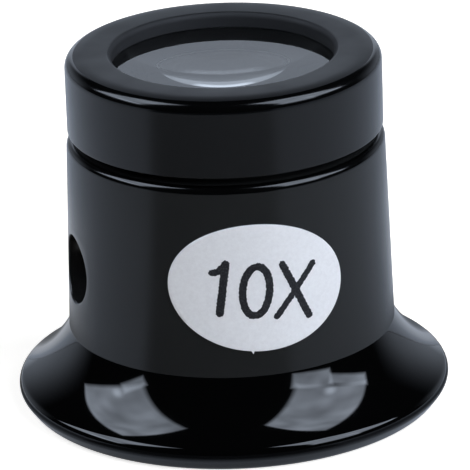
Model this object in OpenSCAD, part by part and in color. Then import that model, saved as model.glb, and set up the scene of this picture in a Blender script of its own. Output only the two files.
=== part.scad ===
// Jeweler's eye loupe: a moulded eyecup barrel with a screw cap over a pair of lenses.
// The optical axis is +Z, the eye rim rests on z = 0, and the vent holes lie along X.

/* [Eyecup] */
// Outside diameter of the eye rim
eye_rim_d = 36; // [35:0.1:37.4]
// Radius of the rim's outer edge, where the flare ends
rim_edge_r = 0.82; // [0.6:0.02:1]
// Height of that edge's centre
rim_edge_h = 1.48; // [1.2:0.02:1.7]
// Radius of the bead that runs round under the rim
eye_bead_r = 1.3; // [1.1:0.05:1.5]
// Diameter of the circle that the bead's centre runs along
eye_bead_d = 32.8; // [31.8:0.1:33.4]
// How deep the bead is flattened where it rests
eye_rim_flat = 0.08; // [0.04:0.01:0.2]
// Height of the crease where the flare leaves the barrel
flare_h = 6.65; // [6:0.05:7.6]
// Angle from upright at which the flare starts under the crease
flare_angle = 26; // [15:1:32]

/* [Barrel] */
// Outside diameter of the barrel at its foot, on the crease
barrel_foot_d = 27.2; // [26.8:0.1:27.8]
// Outside diameter of the barrel at its shoulder
barrel_top_d = 26.3; // [26:0.1:26.8]
// Radius of the shoulder's outer edge
shoulder_round = 0.5; // [0.2:0.05:0.8]
// Thickness of the moulded wall of barrel and flare
wall = 1.6; // [1.2:0.05:1.9]
// Diameter of each of the two vent holes
vent_d = 5.7; // [4.5:0.1:6.5]
// Height of the vent holes' shared axis
vent_z = 12.7; // [11:0.1:14.5]

/* [Neck] */
// Wall of the neck that the cap screws over
neck_wall = 0.9; // [0.7:0.05:1.1]
// Thickness of the ledge that carries the rear lens
ledge_t = 1.5; // [1:0.1:2]
// Width of the ledge inside the lens bore
ledge_w = 1.15; // [0.8:0.05:1.6]
// Free height between the neck's mouth and the seat in the cap
neck_mouth_gap = 0.3; // [0.2:0.05:0.6]
// Radial room for the screw thread between neck and cap
thread_room = 0.4; // [0.3:0.05:0.5]

/* [Lenses] */
// Outside diameter of both lenses and of the spacer
lens_d = 20.8; // [20.2:0.1:21.2]
// Radius of curvature of each lens's domed face
lens_curve = 23; // [20:0.5:30]
// Thickness of each lens at its edge
lens_edge = 0.6; // [0.5:0.05:1]
// Width of the flat rim round each dome
lens_rim = 0.7; // [0.5:0.05:0.9]
// Air gap between the two domes on the axis
lens_air = 0.6; // [0.3:0.05:1]
// Radial clearance of lenses and spacer in their bores
lens_fit = 0.05; // [0.03:0.01:0.08]

/* [Cap] */
// Overall height of the loupe, from eye rim to cap top
overall_h = 30.2; // [29.6:0.05:31]
// Height of the cap, from its skirt to its top
cap_h = 6.55; // [6:0.05:7]
// Outside diameter of the screw cap
cap_d = 26.1; // [25.8:0.1:26.8]
// Open groove between the cap's skirt and the shoulder
cap_gap = 0.7; // [0.4:0.05:1]
// Radius of the cap's upper outer edge
cap_edge_round = 1.3; // [0.8:0.1:1.6]
// Radius of the cap's lower outer edge
skirt_round = 0.2; // [0.1:0.05:0.4]
// Diameter of the viewing aperture
aperture_d = 18.4; // [17.6:0.1:19]
// Radius of the aperture's rounded edge
aperture_round = 0.45; // [0.2:0.05:0.6]
// Thickness of the cap's lip over the front lens
lip_t = 1.28; // [1:0.02:1.5]
// How deep the front lens sits in its seat in the cap
lens_seat = 1.2; // [0.8:0.05:1.5]

/* [Label] */
// Width of the oval magnification label along the barrel
label_w = 15; // [12:0.1:17]
// Height of the oval label
label_h = 10.86; // [9:0.02:12]
// Thickness of the label's film
label_t = 0.12; // [0.08:0.01:0.2]
// Height of the label's centre
label_z = 14.26; // [13.8:0.02:14.6]
// Turn of the label's centre from -Y towards -X, in degrees
label_turn = 6; // [-10:0.1:20]
// How far the label is stuck askew, clockwise as it is read, in degrees
label_tilt = 5.5; // [0:0.5:8]

/* [Hidden] */
$fn = 96;

past = 1;  // how far cutting shapes run past what they cut

// Eye rim in section: the edge's centre and the bead's centre
edge_c = [eye_rim_d / 2 - rim_edge_r, rim_edge_h];
bead_c = [eye_bead_d / 2, eye_bead_r - eye_rim_flat];

// Barrel's outside, a slight cone
barrel_h = overall_h - cap_h - cap_gap;
foot = [barrel_foot_d / 2, flare_h];
barrel_lean = atan((barrel_foot_d - barrel_top_d) / 2 / (barrel_h - flare_h));
function barrel_r(z) = foot[0] - (z - flare_h) * tan(barrel_lean);

// The flare is one hollow arc from the crease that runs smoothly into the rim's edge
flare_dir = [cos(flare_angle), sin(flare_angle)];
flare_run = foot - edge_c;
flare_r = (flare_run * flare_run - pow(rim_edge_r, 2)) / (2 * (rim_edge_r - flare_run * flare_dir));
flare_c = foot + flare_r * flare_dir;

// Lens pair, stacked down from the cap's lip
dome_r = lens_d / 2 - lens_rim;
dome_h = lens_curve - sqrt(pow(lens_curve, 2) - pow(dome_r, 2));
front_face_z = overall_h - lip_t;
front_rim_z = front_face_z - lens_edge;
rear_rim_z = front_rim_z - 2 * dome_h - lens_air;
ledge_z = rear_rim_z - lens_edge;

// Bores and neck
lens_bore_r = lens_d / 2 + lens_fit;
light_r = lens_bore_r - ledge_w;
neck_r = lens_bore_r + neck_wall;
thread_bore_r = neck_r + thread_room;
ceiling_z = front_face_z - lens_seat;
neck_top_z = ceiling_z - neck_mouth_gap;
skirt_z = barrel_h + cap_gap;

// Inside of the barrel, from the flare's inner arc up to the ledge
inner_foot = flare_c - (flare_r + wall) * flare_dir;
inner_top = [barrel_r(ledge_z - ledge_t) - wall, ledge_z - ledge_t];

// Shoulder's rounded edge: its centre, and where it meets the leaning wall
shoulder_cz = barrel_h - shoulder_round;
shoulder_c = [barrel_r(shoulder_cz) - shoulder_round / cos(barrel_lean), shoulder_cz];
shoulder_tip = shoulder_c + shoulder_round * [cos(barrel_lean), sin(barrel_lean)];

// Barrel and neck, as a solid of revolution's section
module barrel_section() {
    polygon([[0, foot[1]], foot, shoulder_tip, shoulder_c, [shoulder_c[0], barrel_h],
             [neck_r, barrel_h], [neck_r, neck_top_z], [0, neck_top_z]]);
    translate(shoulder_c) circle(r = shoulder_round);
}

// Flare between the crease and the rim's edge, before the inside is hollowed
module flare_section() {
    difference() {
        polygon([[0, edge_c[1]], edge_c, flare_c, foot, [0, foot[1]]]);
        translate(flare_c) circle(r = flare_r);
    }
}

// Eye rim: its outer edge, and the bead that it runs into below
module rim_section() {
    translate(edge_c) circle(r = rim_edge_r);
    translate(bead_c) circle(r = eye_bead_r);
}

// Everything that is air inside the eyecup and the neck
module hollow_section() {
    difference() {
        translate([0, -past]) square([bead_c[0], inner_foot[1] + past]);
        translate(flare_c) circle(r = flare_r + wall);
    }
    polygon([[0, inner_foot[1]], inner_foot, inner_top, [0, inner_top[1]]]);
    square([light_r, ledge_z]);
    translate([0, ledge_z]) square([lens_bore_r, neck_top_z - ledge_z + past]);
}

module vent_holes() {
    translate([0, 0, vent_z])
        rotate([0, 90, 0])
            cylinder(d = vent_d, h = barrel_foot_d + 2 * past, center = true);
}

module eyecup_barrel() {
    color("#17171a")
    difference() {
        rotate_extrude()
            difference() {
                union() {
                    difference() {
                        union() {
                            barrel_section();
                            flare_section();
                        }
                        hollow_section();
                    }
                    rim_section();
                }
                translate([0, -eye_bead_r]) square([eye_rim_d, eye_bead_r]);
            }
        vent_holes();
    }
}

// One plano-convex lens, with its flat face on z = 0 and its dome upwards
module plano_convex_lens() {
    cylinder(d = lens_d, h = lens_edge);
    intersection() {
        translate([0, 0, lens_edge + dome_h - lens_curve]) sphere(r = lens_curve, $fn = 180);
        cylinder(r = dome_r, h = lens_edge + dome_h + past);
    }
}

module rear_lens() {
    color("#c9d6dc", 0.5)
    translate([0, 0, ledge_z]) plano_convex_lens();
}

module front_lens() {
    color("#c9d6dc", 0.5)
    translate([0, 0, front_face_z]) mirror([0, 0, 1]) plano_convex_lens();
}

// The ring that keeps the two domes apart
module lens_spacer() {
    spacer_bore_r = dome_r + lens_fit;
    color("#101012")
    rotate_extrude()
        translate([spacer_bore_r, rear_rim_z])
            square([lens_d / 2 - spacer_bore_r, front_rim_z - rear_rim_z]);
}

// Section of the cap's outside, with its rounded edges
module cap_section() {
    edge_c = [cap_d / 2 - cap_edge_round, overall_h - cap_edge_round];
    skirt_c = [cap_d / 2 - skirt_round, skirt_z + skirt_round];
    lip_c = [aperture_d / 2 + aperture_round, overall_h - aperture_round];
    polygon([[thread_bore_r, skirt_z], [skirt_c[0], skirt_z], skirt_c, [cap_d / 2, skirt_c[1]],
             [cap_d / 2, edge_c[1]], edge_c, [edge_c[0], overall_h],
             [lip_c[0], overall_h], lip_c, [aperture_d / 2, lip_c[1]],
             [aperture_d / 2, front_face_z], [lens_bore_r, front_face_z],
             [lens_bore_r, ceiling_z], [thread_bore_r, ceiling_z]]);
    translate(edge_c) circle(r = cap_edge_round);
    translate(skirt_c) circle(r = skirt_round);
    translate(lip_c) circle(r = aperture_round);
}

module lens_cap() {
    color("#1b1b1e")
    rotate_extrude() cap_section();
}

// The label's film follows the barrel's cone, cut to an oval
module magnification_label() {
    film_low = label_z - label_h / 2 - past;
    film_high = label_z + label_h / 2 + past;
    half_chord = barrel_r(label_z) * sin(label_w / 2 / barrel_r(label_z) * 180 / PI);
    color("#c8c8cc")
    intersection() {
        rotate_extrude()
            polygon([[barrel_r(film_low), film_low], [barrel_r(film_low) + label_t, film_low],
                     [barrel_r(film_high) + label_t, film_high], [barrel_r(film_high), film_high]]);
        rotate([0, 0, -label_turn])
            translate([0, 0, label_z])
                rotate([90, 0, 0])
                    linear_extrude(height = barrel_foot_d)
                        rotate(-label_tilt)
                            scale([2 * half_chord / label_h, 1]) circle(d = label_h);
    }
}

eyecup_barrel();
rear_lens();
lens_spacer();
front_lens();
lens_cap();
magnification_label();
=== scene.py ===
import math
import bmesh
import bpy
from mathutils import Matrix, Quaternion, Vector, noise


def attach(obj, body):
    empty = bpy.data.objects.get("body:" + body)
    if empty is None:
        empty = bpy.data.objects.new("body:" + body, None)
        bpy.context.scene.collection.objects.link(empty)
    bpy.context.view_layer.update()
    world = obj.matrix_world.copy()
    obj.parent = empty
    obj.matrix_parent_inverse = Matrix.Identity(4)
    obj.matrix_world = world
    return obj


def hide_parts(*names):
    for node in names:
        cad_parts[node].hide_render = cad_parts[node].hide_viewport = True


# A jeweller's eye loupe standing on its eye rim: a black moulded eyecup barrel, a black
# screw cap over a stacked pair of lenses, and a silver-white oval label with its power.
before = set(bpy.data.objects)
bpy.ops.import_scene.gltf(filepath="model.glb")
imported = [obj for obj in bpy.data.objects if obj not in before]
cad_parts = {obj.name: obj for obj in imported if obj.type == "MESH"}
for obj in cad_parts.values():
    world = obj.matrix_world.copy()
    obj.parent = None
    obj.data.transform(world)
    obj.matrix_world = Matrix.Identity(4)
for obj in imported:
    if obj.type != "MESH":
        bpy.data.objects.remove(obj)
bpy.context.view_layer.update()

# Camera
# The photograph was taken from about 40 cm, a little above the loupe. Its side is turned
# from -Y towards -X, because the vent holes of the model lie along X.
MM = 0.001
photo_turn = math.radians(-15.7)
camera_reach = 400.0 * MM
camera_height = 168.6 * MM
camera_pitch = math.radians(21.155)
camera_yaw = math.radians(0.07)
camera_roll = math.radians(-1.972)
camera_lens_mm = 394.96
sensor_mm = 36.0


def bearing(azimuth, elevation=0.0):
    """Direction from the loupe's axis, in degrees, with azimuth 0 towards the camera."""
    turn, rise = math.radians(azimuth) + photo_turn, math.radians(elevation)
    return Vector((math.sin(turn) * math.cos(rise), -math.cos(turn) * math.cos(rise), math.sin(rise)))


forward = Vector((math.sin(camera_yaw) * math.cos(camera_pitch),
                  math.cos(camera_yaw) * math.cos(camera_pitch), -math.sin(camera_pitch)))
level = forward.cross(Vector((0, 0, 1))).normalized()
upright = level.cross(forward)
right = level * math.cos(camera_roll) + upright * math.sin(camera_roll)
up = upright * math.cos(camera_roll) - level * math.sin(camera_roll)
camera = bpy.data.objects.new("camera", bpy.data.cameras.new("camera"))
bpy.context.scene.collection.objects.link(camera)
bpy.context.scene.camera = camera
camera.data.sensor_width = sensor_mm
camera.data.lens = camera_lens_mm
camera.data.clip_start = 10 * MM
camera.data.clip_end = 20.0
looks = Matrix((right, up, -forward)).transposed().to_4x4()
camera.matrix_world = (Matrix.Rotation(photo_turn, 4, "Z")
                       @ Matrix.Translation((0, -camera_reach, camera_height)) @ looks)

# Studio
# A white paper sweep under and behind the loupe, a dark room in front of it, two tall
# softboxes at its sides with low cards at their feet, and a front light for the matt surfaces.
bpy.context.scene.view_settings.view_transform = "Standard"


def linear(colour):
    """An sRGB hex colour as linear red, green, blue and alpha."""
    parts = [int(colour[k:k + 2], 16) / 255 for k in (1, 3, 5)]
    return [c / 12.92 if c <= 0.04045 else ((c + 0.055) / 1.055) ** 2.4 for c in parts] + [1.0]


def add_node(tree, kind, inputs=None, **settings):
    """Adds one node. Inputs are values or other nodes' outputs, by socket name or number."""
    node = tree.nodes.new(kind)
    for name, value in settings.items():
        setattr(node, name, value)
    for socket, value in (inputs or {}).items():
        if isinstance(value, bpy.types.NodeSocket):
            tree.links.new(value, node.inputs[socket])
        else:
            node.inputs[socket].default_value = value
    return node


def new_material(name):
    """A material, its node tree, its shader's inputs and the piece's own coordinates."""
    material = bpy.data.materials.new(name)
    material.use_nodes = True
    tree = material.node_tree
    place = add_node(tree, "ShaderNodeTexCoord").outputs["Object"]
    return material, tree, tree.nodes["Principled BSDF"].inputs, place


daylight = "#E1EDFF"
room_glow = 0.01

# Each stretch of the sweep has the cosines of the turn from straight behind between which it
# fades in, the elevations in degrees between which it fades out, its brightness and its rays
paper_back = ((0.88, 0.985), (23, 33), 1.0, "Is Glossy Ray")
paper_sides = ((0.30, 0.75), (5, 34), 0.46, "Is Glossy Ray")
paper_in_glass = ((0.45, 0.85), (50, 60), 0.34, "Is Transmission Ray")
world = bpy.data.worlds.new("white_sweep_in_a_dark_room")
bpy.context.scene.world = world
world.use_nodes = True
tree = world.node_tree
tree.nodes.clear()
rays = add_node(tree, "ShaderNodeLightPath").outputs
direction = add_node(tree, "ShaderNodeTexCoord").outputs["Generated"]
flat = add_node(tree, "ShaderNodeVectorMath", {0: direction, 1: (1, 1, 0)}, operation="MULTIPLY").outputs[0]
flat = add_node(tree, "ShaderNodeVectorMath", {0: flat}, operation="NORMALIZE").outputs[0]
behind = add_node(tree, "ShaderNodeVectorMath", {0: flat, 1: bearing(180)},
                  operation="DOT_PRODUCT").outputs["Value"]
height = add_node(tree, "ShaderNodeSeparateXYZ", {0: direction}).outputs["Z"]
seen = rays["Is Camera Ray"]
for edge, top, share, ray in (paper_back, paper_sides, paper_in_glass):
    low, high = (math.sin(math.radians(a)) for a in top)
    across = add_node(tree, "ShaderNodeMapRange", {"Value": behind, "From Min": edge[0],
                      "From Max": edge[1]}, interpolation_type="SMOOTHSTEP").outputs[0]
    below = add_node(tree, "ShaderNodeMapRange", {"Value": height, "From Min": low, "From Max": high,
                     "To Min": share, "To Max": 0.0}, interpolation_type="SMOOTHSTEP").outputs[0]
    sweep = add_node(tree, "ShaderNodeMath", {0: across, 1: below}, operation="MULTIPLY").outputs[0]
    sweep = add_node(tree, "ShaderNodeMath", {0: sweep, 1: rays[ray]}, operation="MULTIPLY").outputs[0]
    seen = add_node(tree, "ShaderNodeMath", {0: sweep, 1: seen}, operation="MAXIMUM").outputs[0]
strength = add_node(tree, "ShaderNodeMath", {0: seen, 1: room_glow}, operation="MAXIMUM").outputs[0]
tint = add_node(tree, "ShaderNodeMix", {"Factor": rays["Is Camera Ray"], "A": linear(daylight),
                "B": linear("#FFFFFF")}, data_type="RGBA").outputs["Result"]
glow = add_node(tree, "ShaderNodeBackground", {"Color": tint, "Strength": strength})
add_node(tree, "ShaderNodeOutputWorld", {0: glow.outputs[0]})

floor_half = 1.5
floor_mesh = bpy.data.meshes.new("paper_sweep")
floor_mesh.from_pydata([(-floor_half, -floor_half, 0), (floor_half, -floor_half, 0),
                        (floor_half, floor_half, 0), (-floor_half, floor_half, 0)], [], [(0, 1, 2, 3)])
floor = bpy.data.objects.new("paper_sweep", floor_mesh)
bpy.context.scene.collection.objects.link(floor)

# Matt white paper comes out a clean, even white. In the polished flare painted shade shows in its
# place: for reflected rays only, the paper turns to a dark diffuse, darkest in front of the loupe and close
# round its rim.
paper, tree, shader, place = new_material("matt_white_paper")
straight_glow = 0.72
mirrored_glow = 0.2
painted_shade_at_sides = 0.26
painted_shade_in_front = 0.76
rays = add_node(tree, "ShaderNodeLightPath").outputs
mirrored = add_node(tree, "ShaderNodeMath", {0: rays["Is Glossy Ray"], 1: rays["Is Transmission Ray"]},
                    operation="MAXIMUM").outputs[0]
reach = add_node(tree, "ShaderNodeVectorMath", {0: place}, operation="LENGTH").outputs["Value"]
aim = add_node(tree, "ShaderNodeVectorMath", {0: place}, operation="NORMALIZE").outputs["Vector"]
ahead, beside = [add_node(tree, "ShaderNodeVectorMath", {0: aim, 1: bearing(azimuth)},
                          operation="DOT_PRODUCT").outputs["Value"] for azimuth in (-9, 15)]

# Each fade runs along one measure, from its start to its end, between two shares
# The first two fades paint a pool of light on the paper close behind the loupe, seen only in reflections;
# the next two paint shade ahead of the loupe and close round its rim
fades = {"painted light behind": (beside, -0.2, -0.9, 0.0, 0.45), "painted light near": (reach, 0.035, 0.075, 1.0, 0.0),
         "painted shade ahead": (ahead, 0.60, 0.78, 0.0, 0.95), "painted shade near": (reach, 0.022, 0.036, 0.86, 0.0),
         "past the rim": (reach, 0.0153, 0.0205, 0.0, 1.0)}
fade = {name: add_node(tree, "ShaderNodeMapRange", {"Value": measure, "From Min": start, "From Max": end,
                       "To Min": low, "To Max": high}, interpolation_type="SMOOTHSTEP").outputs[0]
        for name, (measure, start, end, low, high) in fades.items()}
back = add_node(tree, "ShaderNodeMath", {0: fade["painted light behind"], 1: fade["painted light near"], 2: mirrored_glow},
                operation="MULTIPLY_ADD").outputs[0]
seen = add_node(tree, "ShaderNodeMath", {0: rays["Is Camera Ray"], 1: straight_glow},
                operation="MULTIPLY").outputs[0]
boost = add_node(tree, "ShaderNodeMath", {0: mirrored, 1: back, 2: seen},
                 operation="MULTIPLY_ADD").outputs[0]
tint = add_node(tree, "ShaderNodeMix", {"Factor": mirrored, "A": linear("#F9ECDA"), "B": linear("#E0E6EE")},
                data_type="RGBA").outputs["Result"]
tree.links.new(tint, shader["Base Color"])
tree.links.new(boost, shader["Emission Strength"])
shader["Roughness"].default_value = 0.9
shader["Specular IOR Level"].default_value = 0.1
shader["Emission Color"].default_value = linear("#FFFFFF")
# Painted shade in reflections: a dark diffuse mixed into the paper at the sides, ahead of the loupe and
# close round its rim
painted_shade = add_node(tree, "ShaderNodeMapRange", {"Value": beside, "From Min": -1.0, "To Min": painted_shade_at_sides,
                 "To Max": painted_shade_in_front}).outputs[0]
for other, operation in ((fade["painted shade ahead"], "MAXIMUM"), (fade["painted shade near"], "MAXIMUM"),
                         (fade["past the rim"], "MULTIPLY"), (mirrored, "MULTIPLY")):
    painted_shade = add_node(tree, "ShaderNodeMath", {0: painted_shade, 1: other}, operation=operation).outputs[0]
dark = add_node(tree, "ShaderNodeBsdfDiffuse", {"Color": linear("#0A0A0A")}).outputs[0]
mixed = add_node(tree, "ShaderNodeMixShader", {0: painted_shade, 2: dark})
tree.links.new(tree.nodes["Principled BSDF"].outputs[0], mixed.inputs[1])
tree.links.new(mixed.outputs[0], tree.nodes["Material Output"].inputs["Surface"])
floor_mesh.materials.append(paper)

lamp_distance = 0.7
hem_width = 0.03
folds_per_metre = 5.5
folds_dimmest = 0.75
folds_brightest = 1.4
bulb_spot_r = 0.05


def soft_light(name, place, facing, size, watts, roll=0.0, bulb=(0.5, 0.5, 0.0), distance=lamp_distance):
    """A lit cloth at one azimuth and elevation, turned to face back along another.

    The cloth is a little uneven and dims at its hem. The bulb's shares across and up the cloth
    place the spot where it shines through, and its third value says how much brighter that is.
    """
    width, height = size
    lamp = bpy.data.lights.new(name, "AREA")
    lamp.shape = "RECTANGLE"
    lamp.size = width
    lamp.size_y = height
    lamp.energy = watts
    lamp.color = linear(daylight)[:3]
    lamp.use_nodes = True
    tree = lamp.node_tree
    share = add_node(tree, "ShaderNodeNewGeometry").outputs["Parametric"]
    cloth = add_node(tree, "ShaderNodeVectorMath", {0: share, 1: (width, height, 0)},
                     operation="MULTIPLY").outputs[0]
    folds = add_node(tree, "ShaderNodeTexNoise", {"Vector": cloth, "Scale": folds_per_metre,
                     "Detail": 1.0}).outputs[0]
    uneven = add_node(tree, "ShaderNodeMapRange", {"Value": folds, "From Min": 0.3, "From Max": 0.7,
                      "To Min": folds_dimmest, "To Max": folds_brightest}).outputs[0]
    across, along, brighter = bulb
    off = add_node(tree, "ShaderNodeVectorMath", {0: cloth, 1: (width * across, height * along, 0)},
                   operation="DISTANCE").outputs["Value"]
    spot = add_node(tree, "ShaderNodeMapRange", {"Value": off, "From Min": 0.0, "From Max": bulb_spot_r,
                    "To Min": brighter, "To Max": 0.0}, interpolation_type="SMOOTHSTEP").outputs[0]
    lit = add_node(tree, "ShaderNodeMath", {0: uneven, 1: spot}, operation="ADD").outputs[0]
    middle = (width / 2, height / 2, 0)
    off = add_node(tree, "ShaderNodeVectorMath", {0: cloth, 1: middle}, operation="SUBTRACT").outputs[0]
    off = add_node(tree, "ShaderNodeVectorMath", {0: off}, operation="ABSOLUTE").outputs[0]
    inset = add_node(tree, "ShaderNodeVectorMath", {0: middle, 1: off}, operation="SUBTRACT").outputs[0]
    inset = add_node(tree, "ShaderNodeSeparateXYZ", {0: inset}).outputs
    inset = add_node(tree, "ShaderNodeMath", {0: inset["X"], 1: inset["Y"]}, operation="MINIMUM").outputs[0]
    hem = add_node(tree, "ShaderNodeMapRange", {"Value": inset, "From Min": 0.0,
                   "From Max": hem_width}).outputs[0]
    glow = add_node(tree, "ShaderNodeMath", {0: lit, 1: hem}, operation="MULTIPLY").outputs[0]
    tree.links.new(glow, tree.nodes["Emission"].inputs["Strength"])
    holder = bpy.data.objects.new(name, lamp)
    bpy.context.scene.collection.objects.link(holder)
    holder.location = bearing(*place) * distance
    turn = bearing(*facing).to_track_quat("Z", "Y") @ Quaternion((0, 0, 1), math.radians(roll))
    holder.rotation_euler = turn.to_euler()
    holder.visible_transmission = False
    return holder


# Places and facings are azimuth and elevation in degrees. Sizes are in metres, and watts and a
# roll in degrees follow them.
soft_light("softbox_right", (73.5, 58.8), (53.2, 6.2), (0.454, 0.641), 3.45, 6.1, (0.43, 0.07, 1.2))
soft_light("softbox_left", (-92.5, 52.7), (-59.1, 5.6), (0.484, 0.616), 3.25, -8.3, (0.64, 0.09, 1.0))
soft_light("card_right", (57, 32.4), (57, 32.4), (0.34, 0.17), 0.62, -7)
soft_light("card_far_right", (84.5, 31.4), (84.5, 31.4), (0.33, 0.11), 0.43, -4)
soft_light("card_left", (-74, 31), (-74, 31), (0.22, 0.11), 0.26, -15)
front = soft_light("front_light", (36, 32), (36, 0), (0.6, 0.5), 5.6, distance=0.9)
front.visible_glossy = False

# Eyecup barrel
# One injection moulding in black ABS: a beaded eye rim, a polished flare, a satin barrel with
# two vent holes, a shoulder, and a threaded neck with a ledge inside that carries the lenses.
eye_rim_r = 36.0 / 2
rim_edge_r = 0.82
rim_edge_h = 1.48
bead_r = 1.3
bead_ring_r = 32.8 / 2
rim_flat = 0.08
flare_h = 6.65
flare_angle = math.radians(26)
foot_r = 27.2 / 2
top_r = 26.3 / 2
shoulder_round = 0.6
crease_round = 0.12
neck_root_round = 0.1
mouth_round = 0.2
bore_round = 0.12
seat_round = 0.05
ceiling_round = 0.3
flare_root_round = 0.5
wall = 1.6
vent_r = 5.7 / 2
vent_z = 12.7
vent_round = 0.18
neck_wall = 0.9
ledge_t = 1.5
ledge_w = 1.15
neck_mouth_gap = 0.3
thread_room = 0.4
lens_r = 20.8 / 2
lens_curve = 23.0
lens_edge = 0.6
lens_seat = 1.2
lens_rim = 0.7
lens_air = 0.6
lens_fit = 0.05
overall_h = 30.2
cap_h = 6.55
cap_gap = 0.7
lip_t = 1.28
turns = 256
corner_steps = 5
bead_steps = 6
rim_steps = 20
flare_steps = 28
inner_steps = 24
tuck_steps = 8

barrel_h = overall_h - cap_h - cap_gap
lean = (foot_r - top_r) / (barrel_h - flare_h)
dome_r = lens_r - lens_rim
dome_h = lens_curve - math.sqrt(lens_curve ** 2 - dome_r ** 2)
front_face_z = overall_h - lip_t
front_rim_z = front_face_z - lens_edge
ceiling_z = front_face_z - lens_seat
rear_rim_z = front_rim_z - 2 * dome_h - lens_air
ledge_z = rear_rim_z - lens_edge
lens_bore_r = lens_r + lens_fit
light_r = lens_bore_r - ledge_w
neck_r = lens_bore_r + neck_wall
neck_top_z = ceiling_z - neck_mouth_gap


def barrel_r(z):
    """Radius of the barrel's leaning outside at a height."""
    return foot_r - (z - flare_h) * lean


def arc(centre, radius, start, end, steps):
    """Points of an arc in the half section, from one angle to another."""
    angles = [start + (end - start) * k / steps for k in range(steps + 1)]
    return [(centre.x + radius * math.cos(a), centre.y + radius * math.sin(a)) for a in angles]


def rounded(corners, steps=corner_steps):
    """A closed half section from corners of radius, height and rounding."""
    points = []
    for k, (r, z, rounding) in enumerate(corners):
        corner = Vector((r, z))
        if rounding == 0:
            points.append((r, z))
            continue
        before, after = (Vector(corners[(k + s) % len(corners)][:2]) for s in (-1, 1))
        a, b = (before - corner).normalized(), (after - corner).normalized()
        half = a.angle(b) / 2
        centre = corner + (a + b).normalized() * (rounding / math.sin(half))
        run = rounding / math.tan(half)
        start, end = (corner + side * run - centre for side in (a, b))
        sweep_angle = start.angle_signed(end)
        first = math.atan2(start.y, start.x)
        points += arc(centre, rounding, first, first - sweep_angle, steps)
    return points


def turned(outline, turns):
    """Points and faces of a closed half section turned about the axis, outwards where it runs up."""
    angles = [2 * math.pi * k / turns for k in range(turns)]
    points = [(r * math.cos(a), r * math.sin(a), z) for r, z in outline for a in angles]
    rows = len(outline)
    faces = {(i, j): (i * turns + j, i * turns + (j + 1) % turns,
                      (i + 1) % rows * turns + (j + 1) % turns, (i + 1) % rows * turns + j)
             for i in range(rows) for j in range(turns)}
    return points, faces


def new_piece(name, points, faces, materials, zones=None, sharp=40):
    """A mesh object from points in millimetres, with its finishes and its crisp edges."""
    mesh = bpy.data.meshes.new(name)
    mesh.from_pydata([tuple(c * MM for c in p) for p in points], [], faces)
    for material in materials:
        mesh.materials.append(material)
    if zones:
        mesh.polygons.foreach_set("material_index", zones)
    shell = bmesh.new()
    shell.from_mesh(mesh)
    bmesh.ops.remove_doubles(shell, verts=shell.verts, dist=1e-7)
    bmesh.ops.recalc_face_normals(shell, faces=shell.faces)
    shell.to_mesh(mesh)
    shell.free()
    mesh.shade_smooth()
    mesh.set_sharp_from_angle(angle=math.radians(sharp))
    piece = bpy.data.objects.new(name, mesh)
    bpy.context.scene.collection.objects.link(piece)
    return piece


def grained(tree, shader, place, grain_mm, depth_mm, detail=2.0, roughness=0.6):
    """Gives a shader a grain that stands out by a real depth, and returns the grain."""
    grain = add_node(tree, "ShaderNodeTexNoise", {"Vector": place, "Scale": 1 / (grain_mm * MM),
                     "Detail": detail, "Roughness": roughness}).outputs[0]
    bump = add_node(tree, "ShaderNodeBump", {"Height": grain, "Distance": depth_mm * MM, "Strength": 1.0})
    tree.links.new(bump.outputs[0], shader["Normal"])
    return grain


polish_patch_mm = 4.0


def plastic(name, colour, roughness, level, grain_mm, depth_mm, patchiness):
    """Moulded ABS: its own colour, a fine mould grain and a slightly uneven polish."""
    material, tree, shader, place = new_material(name)
    grained(tree, shader, place, grain_mm, depth_mm)
    patches = add_node(tree, "ShaderNodeTexNoise", {"Vector": place, "Scale": 1 / (polish_patch_mm * MM),
                       "Detail": 3.0, "Roughness": 0.55}).outputs[0]
    dullest, brightest = (roughness * (1 + patchiness * side) for side in (1, -1))
    polish = add_node(tree, "ShaderNodeMapRange", {"Value": patches, "From Min": 0.3, "From Max": 0.7,
                      "To Min": brightest, "To Max": dullest}).outputs[0]
    tree.links.new(polish, shader["Roughness"])
    shader["Base Color"].default_value = linear(colour)
    shader["Specular IOR Level"].default_value = level
    shader["IOR"].default_value = 1.53
    return material


# Satin wall of the barrel: the softboxes' reflections spread into soft upright bands
satin_abs = plastic("satin_moulded_black_abs", "#1F1F1E", 0.22, 0.5, 0.12, 0.0006, 0.08)
# Satin wall of the cap: the same bands on a slightly darker moulding
cap_abs = plastic("satin_cap_black_abs", "#1B1B1B", 0.22, 0.5, 0.12, 0.0006, 0.08)
# Top of the cap, dulled by wear: dark, with a wide and weak sheen
dull_abs = plastic("dull_top_black_abs", "#0E0E0F", 0.44, 0.4, 0.12, 0.0006, 0.08)
# Edges rubbed bright by handling: near black, with thin crisp lines of light
rubbed_abs = plastic("rubbed_edge_black_abs", "#030303", 0.13, 0.5, 0.5, 0.0006, 0.2)
# Flare polished in the mould: near black, and it mirrors the softboxes sharply
gloss_abs = plastic("polished_moulded_black_abs", "#020202", 0.04, 0.5, 1.6, 0.0006, 0.3)
# Inside left matt: it swallows stray light
matt_abs = plastic("matt_moulded_black_abs", "#151516", 0.6, 0.4, 0.2, 0.004, 0.15)
# Wall of the viewing aperture: matt, and coloured grey as painted light for the light that falls on it from
# above
painted_light_bore_abs = plastic("matt_aperture_abs_painted_light", "#2A2A2B", 0.7, 0.3, 0.2, 0.004, 0.15)

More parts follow.
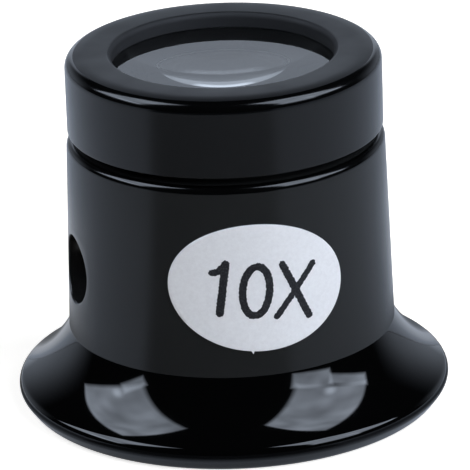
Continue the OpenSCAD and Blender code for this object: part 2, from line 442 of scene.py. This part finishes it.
edge_c = Vector((eye_rim_r - rim_edge_r, rim_edge_h))
bead_c = Vector((bead_ring_r, bead_r - rim_flat))
inwards = bead_c - edge_c
tangent = math.atan2(inwards.y, inwards.x) + math.acos((rim_edge_r - bead_r) / inwards.length)
foot = Vector((foot_r, flare_h))
flare_dir = Vector((math.cos(flare_angle), math.sin(flare_angle)))
flare_run = foot - edge_c
flare_r = (flare_run.length_squared - rim_edge_r ** 2) / (2 * (rim_edge_r - flare_run.dot(flare_dir)))
flare_c = foot + flare_r * flare_dir
meet = math.atan2(edge_c.y - flare_c.y, edge_c.x - flare_c.x) + 2 * math.pi
crease = math.pi + flare_angle
rest = math.asin(bead_c.y / bead_r)
inner_arc_r = flare_r + wall
inner_foot = flare_c - inner_arc_r * flare_dir
inner_top_z = ledge_z - ledge_t
inner_lean = (inner_foot.x - (barrel_r(inner_top_z) - wall)) / (inner_top_z - inner_foot.y)
reach = (flare_c - bead_c).length
along = (reach ** 2 + inner_arc_r ** 2 - bead_r ** 2) / (2 * reach)
toward = math.atan2(bead_c.y - flare_c.y, bead_c.x - flare_c.x) + 2 * math.pi
inner_end = toward - math.acos(along / inner_arc_r)
inner_meet = flare_c + inner_arc_r * Vector((math.cos(inner_end), math.sin(inner_end)))
bead_in = math.atan2(inner_meet.y - bead_c.y, inner_meet.x - bead_c.x)

vent_rows = 6
vent_columns = 12
vent_half = 3.95
row_heights = [vent_z + vent_half * k / vent_rows for k in range(-vent_rows, vent_rows + 1)]


def inner_r(z):
    """Radius of the barrel's inside at a height."""
    return inner_foot.x - (z - inner_foot.y) * inner_lean


corners = [(*p, 0) for p in arc(bead_c, bead_r, -rest, tangent, bead_steps)]
corners += [(*p, 0) for p in arc(edge_c, rim_edge_r, tangent, meet - math.pi, rim_steps)]
corners += [(*p, 0) for p in arc(flare_c, flare_r, meet, crease, flare_steps)[1:-1]]
corners += [(*foot, crease_round)]
corners += [(barrel_r(z), z, 0) for z in row_heights]
corners += [(barrel_r(barrel_h), barrel_h, shoulder_round), (neck_r, barrel_h, neck_root_round),
            (neck_r, neck_top_z, mouth_round), (lens_bore_r, neck_top_z, bore_round),
            (lens_bore_r, ledge_z, seat_round), (light_r, ledge_z, bore_round),
            (light_r, inner_top_z, bore_round), (inner_r(inner_top_z), inner_top_z, ceiling_round)]
corners += [(inner_r(z), z, 0) for z in reversed(row_heights)]
corners += [(*inner_foot, flare_root_round)]
corners += [(*p, 0) for p in arc(flare_c, inner_arc_r, crease, inner_end, inner_steps)[1:]]
corners += [(*p, 0) for p in arc(bead_c, bead_r, bead_in, math.pi + rest, tuck_steps)[1:]]
outline = rounded(corners)
points, faces = turned(outline, turns)

outer_rows = [outline.index((barrel_r(z), z)) for z in row_heights]
inner_rows = [outline.index((inner_r(z), z)) for z in row_heights]
for side in (0, turns // 2):
    for k in range(-vent_columns, vent_columns):
        column = (side + k) % turns
        for i in range(outer_rows[0], outer_rows[-1]):
            faces.pop((i, column))
        for i in range(inner_rows[-1], inner_rows[0]):
            faces.pop((i, column))

GLOSS, SATIN, MATT, RUBBED = 0, 1, 2, 3
crease_row = outer_rows[0] - (corner_steps + 1) // 2
shoulder_row = outer_rows[-1] + 1
mouth_row = max(range(len(outline)), key=lambda i: outline[i][1])
mouth_rows = 8


def finish_of(row):
    """Which of the moulding's finishes a row of faces has."""
    if row < crease_row:
        return GLOSS
    if shoulder_row <= row < shoulder_row + corner_steps:
        return RUBBED
    return SATIN if row < mouth_row + mouth_rows else MATT


zones = [finish_of(i) for i, j in faces]
faces = list(faces.values())


def vent_hole(side, sign):
    """Rings from the barrel's outside through one vent hole to its inside, with a rounded edge."""
    columns = range(-vent_columns, vent_columns + 1)
    last = len(row_heights) - 1
    loop = ([(0, a) for a in columns] + [(b, vent_columns) for b in range(1, last)]
            + [(last, a) for a in reversed(columns)] + [(b, -vent_columns) for b in range(last - 1, 0, -1)])
    rims = [[rows[b] * turns + (side + a) % turns for b, a in loop] for rows in (outer_rows, inner_rows)]
    bends = [math.radians(a) for a in (0, 22.5, 45, 67.5, 90)]
    outer = [(0.5, vent_r + vent_round, 0)]
    outer += [(1, vent_r + vent_round * (1 - math.sin(a)), vent_round * (1 - math.cos(a))) for a in bends]
    inner = [(1, vent_r, 0), (0.5, vent_r, 0)]
    loops = [rims[0]]
    for rim, radius_at, steps in ((rims[0], barrel_r, outer), (rims[1], inner_r, inner)):
        for share, hole_r, depth in steps:
            ring = []
            for index in rim:
                y, z = points[index][1], points[index][2]
                out = Vector((y, z - vent_z)).normalized() * hole_r
                y, z = y + (out.x - y) * share, z + (out.y + vent_z - z) * share
                ring.append(len(points))
                points.append((sign * (math.sqrt(radius_at(z) ** 2 - y * y) - depth), y, z))
            loops.append(ring)
    loops.append(rims[1])
    for near, far in zip(loops, loops[1:]):
        for k in range(len(near)):
            after = (k + 1) % len(near)
            faces.append((near[k], near[after], far[after], far[k]))
            zones.append(SATIN)


vent_hole(0, 1)
vent_hole(turns // 2, -1)
barrel = new_piece("barrel_moulding", points, faces, [gloss_abs, satin_abs, matt_abs, rubbed_abs], zones)
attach(barrel, "barrel")
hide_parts("eyecup_barrel")

# Screw thread of the neck
# A right-handed ridge of 1 mm pitch moulded on the neck in the same black ABS, with its
# ends run out. The cap's own ridge lies half a pitch away from it.
pitch = 1.0
ridge_h = 0.27
ridge_foot = 0.5
ridge_crest = 0.16
run_out = 0.03
run_out_scale = 0.05
helix_steps = 96
neck_thread_z = 23.75
neck_thread_turns = 3.1


def thread_nodes():
    """Geometry Nodes that sweep a tapered ridge along a helix."""
    tree = bpy.data.node_groups.new("screw_thread", "GeometryNodeTree")
    tree.interface.new_socket("Thread", in_out="OUTPUT", socket_type="NodeSocketGeometry")
    for name in ("Root radius", "Pitch", "Turns", "Start height", "Ridge height", "Foot width",
                 "Crest width", "Side"):
        tree.interface.new_socket(name, in_out="INPUT", socket_type="NodeSocketFloat")
    tree.interface.new_socket("Finish", in_out="INPUT", socket_type="NodeSocketMaterial")
    given = add_node(tree, "NodeGroupInput").outputs
    rise = add_node(tree, "ShaderNodeMath", {0: given["Pitch"], 1: given["Turns"]}, operation="MULTIPLY")
    quarter = add_node(tree, "ShaderNodeMath", {0: given["Side"], 1: math.pi / 2}, operation="MULTIPLY")
    half = add_node(tree, "ShaderNodeMath", {0: given["Ridge height"], 1: given["Side"]},
                    operation="MULTIPLY")
    crest_r = add_node(tree, "ShaderNodeMath", {0: half.outputs[0], 1: 0.5, 2: given["Root radius"]},
                       operation="MULTIPLY_ADD")
    helix = add_node(tree, "GeometryNodeCurveSpiral", {"Resolution": helix_steps,
                     "Rotations": given["Turns"], "Start Radius": crest_r.outputs[0],
                     "End Radius": crest_r.outputs[0], "Height": rise.outputs[0]})
    lift = add_node(tree, "ShaderNodeCombineXYZ", {"Z": given["Start height"]})
    placed = add_node(tree, "GeometryNodeTransform", {"Geometry": helix.outputs[0],
                      "Translation": lift.outputs[0]})
    upright = add_node(tree, "GeometryNodeSetCurveNormal", {"Curve": placed.outputs[0]}, mode="Z_UP")
    part = add_node(tree, "GeometryNodeSplineParameter").outputs["Factor"]
    ends = add_node(tree, "ShaderNodeMath", {0: part, 1: 0.5}, operation="SUBTRACT")
    ends = add_node(tree, "ShaderNodeMath", {0: ends.outputs[0]}, operation="ABSOLUTE")
    taper = add_node(tree, "ShaderNodeMapRange", {"Value": ends.outputs[0], "From Min": 0.5 - run_out,
                     "From Max": 0.5, "To Min": 1.0, "To Max": run_out_scale})
    radial = add_node(tree, "GeometryNodeSetCurveTilt", {"Curve": upright.outputs[0],
                      "Tilt": quarter.outputs[0]})
    tapered = add_node(tree, "GeometryNodeSetCurveRadius", {"Curve": radial.outputs[0],
                       "Radius": taper.outputs[0]})
    ridge = add_node(tree, "GeometryNodeCurvePrimitiveQuadrilateral", {"Height": given["Ridge height"],
                     "Bottom Width": given["Foot width"], "Top Width": given["Crest width"],
                     "Offset": 0.0}, mode="TRAPEZOID")
    swept = add_node(tree, "GeometryNodeCurveToMesh", {"Curve": tapered.outputs[0],
                     "Profile Curve": ridge.outputs[0], "Fill Caps": True})
    real = add_node(tree, "GeometryNodeRealizeInstances", {0: swept.outputs[0]})
    finished = add_node(tree, "GeometryNodeSetMaterial", {"Geometry": real.outputs[0],
                        "Material": given["Finish"]})
    add_node(tree, "NodeGroupOutput", {0: finished.outputs[0]})
    return tree


thread_tree = thread_nodes()


def screw_thread(name, finish, sizes):
    """A helical ridge as a plain mesh, from the thread nodes and their named sizes."""
    source = bpy.data.objects.new(name + "_source", bpy.data.meshes.new(name + "_source"))
    bpy.context.scene.collection.objects.link(source)
    modifier = source.modifiers.new("thread", "NODES")
    modifier.node_group = thread_tree
    sockets = {s.name: s.identifier for s in thread_tree.interface.items_tree if s.in_out == "INPUT"}
    for label, value in sizes.items():
        modifier[sockets[label]] = value
    modifier[sockets["Finish"]] = finish
    source.update_tag()
    made = source.evaluated_get(bpy.context.evaluated_depsgraph_get())
    mesh = bpy.data.meshes.new_from_object(made)
    mesh.name = name
    bpy.data.objects.remove(source)
    mesh.shade_flat()
    mesh.materials.clear()
    mesh.materials.append(finish)
    piece = bpy.data.objects.new(name, mesh)
    bpy.context.scene.collection.objects.link(piece)
    return piece


neck_thread = screw_thread("neck_thread", satin_abs, {
    "Root radius": neck_r * MM, "Pitch": pitch * MM, "Turns": neck_thread_turns,
    "Start height": neck_thread_z * MM, "Ridge height": ridge_h * MM,
    "Foot width": ridge_foot * MM, "Crest width": ridge_crest * MM, "Side": 1.0})
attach(neck_thread, "barrel")

# Lenses
# Two equal plano-convex lenses of polished crown glass with ground edges, domes facing each
# other. The rear one lies on the neck's ledge, the front one is held under the cap's lip.
lens_turns = 192
lens_bevel = 0.12
dome_rings = 28
flat_rings = 12
flat_share = 0.97


def optical_glass():
    """Polished crown glass: clear, with sharp reflections, true refraction and a faint smear."""
    material, tree, shader, place = new_material("polished_crown_glass")
    shader["Base Color"].default_value = linear("#FBFDFC")
    shader["Transmission Weight"].default_value = 1.0
    shader["IOR"].default_value = 1.5168
    haze = add_node(tree, "ShaderNodeTexNoise", {"Vector": place, "Scale": 1 / (2.5 * MM), "Detail": 4.0})
    smear = add_node(tree, "ShaderNodeMapRange", {"Value": haze.outputs[0], "From Min": 0.45,
                     "From Max": 0.8, "To Min": 0.0, "To Max": 0.03})
    tree.links.new(smear.outputs[0], shader["Roughness"])
    return material


def ground_glass():
    """The lens edge as the grinding wheel leaves it: grey, matt and light-scattering."""
    material, tree, shader, place = new_material("ground_glass_edge")
    shader["Base Color"].default_value = linear("#E9EFE9")
    shader["Transmission Weight"].default_value = 0.1
    shader["IOR"].default_value = 1.5168
    shader["Roughness"].default_value = 0.55
    grained(tree, shader, place, 0.08, 0.01, roughness=0.5)
    return material


crown_glass = optical_glass()
ground_edge = ground_glass()


def lens(name, node, body, rim_z, up):
    """A plano-convex lens whose dome points up or down from the plane of its rim."""
    swing = math.asin(dome_r / lens_curve)
    centre = Vector((0, rim_z + up * (dome_h - lens_curve)))
    bends = [swing * k / dome_rings for k in range(dome_rings, -1, -1)]
    dome = [(lens_curve * math.sin(a), centre.y + up * lens_curve * math.cos(a)) for a in bends]
    plane_z = rim_z - up * lens_edge
    side = [(lens_r - lens_bevel, plane_z), (lens_r, plane_z + up * lens_bevel),
            (lens_r, rim_z - up * lens_bevel), (lens_r - lens_bevel, rim_z)]
    flat = [(lens_r * k / flat_rings * flat_share, plane_z) for k in range(flat_rings + 1)]
    section = flat + side + dome[:-1] + [(0, dome[-1][1])]
    spokes = [2 * math.pi * k / lens_turns for k in range(lens_turns)]
    points, faces, rings, zones = [], [], [], []
    for r, z in section:
        if r == 0:
            rings.append([len(points)] * lens_turns)
            points.append((0, 0, z))
        else:
            rings.append(list(range(len(points), len(points) + lens_turns)))
            points += [(r * math.cos(a), r * math.sin(a), z) for a in spokes]
    for row, (near, far) in enumerate(zip(rings, rings[1:])):
        for k in range(lens_turns):
            after = (k + 1) % lens_turns
            face = dict.fromkeys((near[k], near[after], far[after], far[k]))
            faces.append(tuple(face))
            zones.append(1 if len(flat) <= row < len(flat) + len(side) else 0)
    piece = new_piece(name, points, faces, [crown_glass, ground_edge], zones, sharp=20)
    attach(piece, body)
    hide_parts(node)
    return piece


lens("rear_lens_glass", "rear_lens", "barrel", rear_rim_z, 1)
lens("front_lens_glass", "front_lens", "front_glass", front_rim_z, -1)

# Lens spacer
# A thin ring of matt black plastic, cut from tube, that keeps the two domes apart. It
# stands between the flat rims of the lenses.
spacer_bore_r = dome_r + lens_fit
spacer_round = 0.05
spacer = [(r, z, spacer_round) for r, z in ((spacer_bore_r, rear_rim_z), (lens_r, rear_rim_z),
                                            (lens_r, front_rim_z), (spacer_bore_r, front_rim_z))]

# Extruded tube, cut and left matt: a dull dark grey behind the glass
matt_tube = plastic("matt_black_tube_plastic", "#262627", 0.7, 0.4, 0.15, 0.004, 0.1)
points, faces = turned(rounded(spacer, steps=2), lens_turns)
spacer_ring = new_piece("spacer_ring", points, list(faces.values()), [matt_tube])
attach(spacer_ring, "barrel")
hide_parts("lens_spacer")

# Lens cap
# A screw cap moulded in the same satin black ABS: a plain skirt with a rounded upper edge,
# a lip round the viewing aperture, and a threaded bore that comes down over the neck.
cap_r = 26.1 / 2
cap_edge_r = 0.95
cap_crown_r = 4.0
cap_crown_end = math.radians(75)
edge_steps = 16
crown_steps = 6
cap_steps = 8
lip_rows = 3
skirt_round = 0.2
skirt_bore_round = 0.15
lip_round = 0.08
cap_bore_round = 0.1
cap_thread_turns = 2.9
aperture_r = 18.4 / 2
aperture_round = 0.45
skirt_z = barrel_h + cap_gap
thread_bore_r = neck_r + thread_room
crown_run = Vector((math.cos(cap_crown_end), math.sin(cap_crown_end))) * (cap_crown_r - cap_edge_r)
crown_c = Vector((cap_r - cap_edge_r - crown_run.x, overall_h - cap_crown_r))
edge_arc = arc(crown_c + crown_run, cap_edge_r, 0, cap_crown_end, edge_steps)
crown_arc = arc(crown_c, cap_crown_r, cap_crown_end, math.pi / 2, crown_steps)
cap_corners = [(thread_bore_r, skirt_z, skirt_bore_round), (cap_r, skirt_z, skirt_round)]
cap_corners += [(*p, 0) for p in edge_arc + crown_arc[1:]]
cap_corners += [(aperture_r, overall_h, aperture_round), (aperture_r, front_face_z, lip_round),
                (lens_bore_r, front_face_z, seat_round), (lens_bore_r, ceiling_z, cap_bore_round),
                (thread_bore_r, ceiling_z, cap_bore_round)]
cap_outline = rounded(cap_corners, cap_steps)
edge_row = cap_outline.index(edge_arc[0])
points, faces = turned(cap_outline, turns)
wall_row = cap_outline.index(crown_arc[-1]) + lip_rows
zones = [(i >= edge_row) + (i >= edge_row + edge_steps) + (i >= wall_row) for i, j in faces]
cap = new_piece("screw_cap", points, list(faces.values()), [cap_abs, rubbed_abs, dull_abs, painted_light_bore_abs], zones)
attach(cap, "cap")
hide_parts("lens_cap")

cap_thread = screw_thread("cap_thread", cap_abs, {
    "Root radius": thread_bore_r * MM, "Pitch": pitch * MM, "Turns": cap_thread_turns,
    "Start height": (neck_thread_z + pitch / 2) * MM, "Ridge height": ridge_h * MM,
    "Foot width": ridge_foot * MM, "Crest width": ridge_crest * MM, "Side": -1.0})
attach(cap_thread, "cap")

# Magnification label
# An oval of silver-white satin film, die-cut and stuck round the barrel, a little askew. A
# small nib is left at its lower edge, where it was held on its backing sheet.
label_half_w = 7.5
label_half_h = 5.43
label_t = 0.12
label_z = 14.26
label_azimuth = 9.7
label_tilt = math.radians(-5.5)
label_edge = 0.06


def on_barrel(along, rise, lift):
    """A point of the label's plane wrapped on the barrel, that far above the wall."""
    s = along * math.cos(label_tilt) - rise * math.sin(label_tilt)
    z = label_z + along * math.sin(label_tilt) + rise * math.cos(label_tilt)
    out = bearing(label_azimuth + math.degrees(s / barrel_r(label_z)))
    return (out.x * (barrel_r(z) + lift), out.y * (barrel_r(z) + lift), z)


def satin_film():
    """Metallised satin film: a pale silver-white with a fine grain and a soft sheen."""
    material, tree, shader, place = new_material("satin_silver_white_film")
    grain = grained(tree, shader, place, 0.35, 0.003, detail=3.0, roughness=0.7)
    shade = add_node(tree, "ShaderNodeMapRange", {"Value": grain, "From Min": 0.25, "From Max": 0.75,
                     "To Min": 0.0, "To Max": 1.0}).outputs[0]
    tint = add_node(tree, "ShaderNodeMix", {"Factor": shade, "A": linear("#ECE9E8"),
                    "B": linear("#F6F4F3")}, data_type="RGBA")
    tree.links.new(tint.outputs["Result"], shader["Base Color"])
    shader["Roughness"].default_value = 0.42
    shader["Metallic"].default_value = 0.15
    return material


nib_at = math.radians(-90.7)
nib_root = math.radians(0.4)
nib_share = 0.045
nib_from = 0.95
under_share = 0.9
label_rings = 24
rim_step = 2.25
half_steps = round(180 / rim_step)
rim_angles = sorted([math.radians(rim_step * k) for k in range(-half_steps, half_steps)]
                    + [nib_at, nib_at + nib_root])
rim_points = len(rim_angles)
points, faces = [on_barrel(0, 0, label_t)], []
profile = [(k / label_rings, label_t) for k in range(1, label_rings)]
profile += [(1 - label_edge / label_half_w, label_t), (1, label_t - label_edge), (1, 0.0),
            (under_share, 0.0)]
for share, lift in profile:
    for a in rim_angles:
        reach = share * (1 + nib_share if a == nib_at and share > nib_from else 1)
        x, y = label_half_w * reach * math.cos(a), label_half_h * reach * math.sin(a)
        points.append(on_barrel(x, y, lift))
for k in range(rim_points):
    after = (k + 1) % rim_points
    faces.append((0, 1 + k, 1 + after))
    for ring in range(len(profile) - 1):
        low, high = 1 + ring * rim_points, 1 + (ring + 1) * rim_points
        faces.append((low + k, high + k, high + after, low + after))
faces.append(tuple(1 + (len(profile) - 1) * rim_points + k for k in range(rim_points)))
film = new_piece("label_film", points, faces, [satin_film()], sharp=50)
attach(film, "barrel")
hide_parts("magnification_label")

# Label figures
# The power mark is screen-printed on the film in black ink, a little raised, with the
# slightly ragged edges of a hand-cut stencil.
ink_t = 0.02
cell = 0.045
grid_low = Vector((-4.3, -2.95))
grid_span = Vector((9.2, 5.6))
ragged_by = 0.07
ragged_scale = 6
ring_c = Vector((-0.23, -0.225))
ring_half = Vector((1.1, 2.09))
ring_pen = 0.31
strokes = [((-2.85, 1.98), (-3.03, -2.25), 0.33), ((-2.85, 1.98), (-3.40, 1.30), 0.28),
           ((-3.40, 1.30), (-3.90, 1.14), 0.28), ((1.82, 1.98), (4.40, -2.50), 0.31),
           ((4.50, 1.90), (1.62, -2.42), 0.26)]


def ink_depth(p):
    """How far a point of the label's plane lies outside the ink; negative inside it."""
    q = p - ring_c
    k1 = Vector((q.x / ring_half.x, q.y / ring_half.y)).length
    k2 = Vector((q.x / ring_half.x ** 2, q.y / ring_half.y ** 2)).length
    nearest = abs(k1 * (k1 - 1) / max(k2, 1e-6)) - ring_pen
    for start, end, pen in strokes:
        a, run = Vector(start), Vector(end) - Vector(start)
        share = min(max((p - a).dot(run) / run.length_squared, 0), 1)
        nearest = min(nearest, (p - a - run * share).length - pen)
    return nearest + ragged_by * noise.noise(Vector((p.x, p.y, 0)) * ragged_scale)


def inked_faces():
    """Outlines the ink on a grid, and closes it above, below and round its sides."""
    columns, rows = (int(side / cell) for side in grid_span)
    at = {(i, j): grid_low + Vector((i, j)) * cell for i in range(columns) for j in range(rows)}
    depth = {key: ink_depth(p) for key, p in at.items()}
    found, spots, faces = {}, [], []

    def spot(key, place):
        if key not in found:
            found[key] = len(spots)
            spots.append(place)
        return found[key]

    for i in range(columns - 1):
        for j in range(rows - 1):
            keys = [(i, j), (i + 1, j), (i + 1, j + 1), (i, j + 1)]
            if min(depth[k] for k in keys) >= 0:
                continue
            ring, crossings = [], []
            for near, far in zip(keys, keys[1:] + keys[:1]):
                if depth[near] < 0:
                    ring.append(spot(near, at[near]))
                if (depth[near] < 0) != (depth[far] < 0):
                    share = depth[near] / (depth[near] - depth[far])
                    name = (min(near, far), max(near, far))
                    crossings.append((spot(name, at[near].lerp(at[far], share)), depth[near] < 0))
                    ring.append(crossings[-1][0])
            faces.append([(k, 1) for k in ring])
            faces.append([(k, 0) for k in reversed(ring)])
            for (a, leaves), (b, _) in zip(crossings, crossings[1:] + crossings[:1]):
                if leaves:
                    faces.append([(a, 1), (a, 0), (b, 0), (b, 1)])
    points = [on_barrel(p.x, p.y, label_t + ink_t * side) for p in spots for side in (0, 1)]
    return points, [tuple(2 * k + side for k, side in face) for face in faces]


def printing_ink():
    """Black screen ink: matt, grainy, a little grey where it lies thin."""
    material, tree, shader, place = new_material("black_screen_ink")
    grain = grained(tree, shader, place, 0.12, 0.006)
    thin = add_node(tree, "ShaderNodeMapRange", {"Value": grain, "From Min": 0.45, "From Max": 0.75,
                    "To Min": 0.0, "To Max": 1.0}).outputs[0]
    tint = add_node(tree, "ShaderNodeMix", {"Factor": thin, "A": linear("#19191B"),
                    "B": linear("#454548")}, data_type="RGBA")
    tree.links.new(tint.outputs["Result"], shader["Base Color"])
    shader["Roughness"].default_value = 0.6
    return material


points, faces = inked_faces()
figures = new_piece("label_figures", points, faces, [printing_ink()], sharp=50)
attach(figures, "barrel")
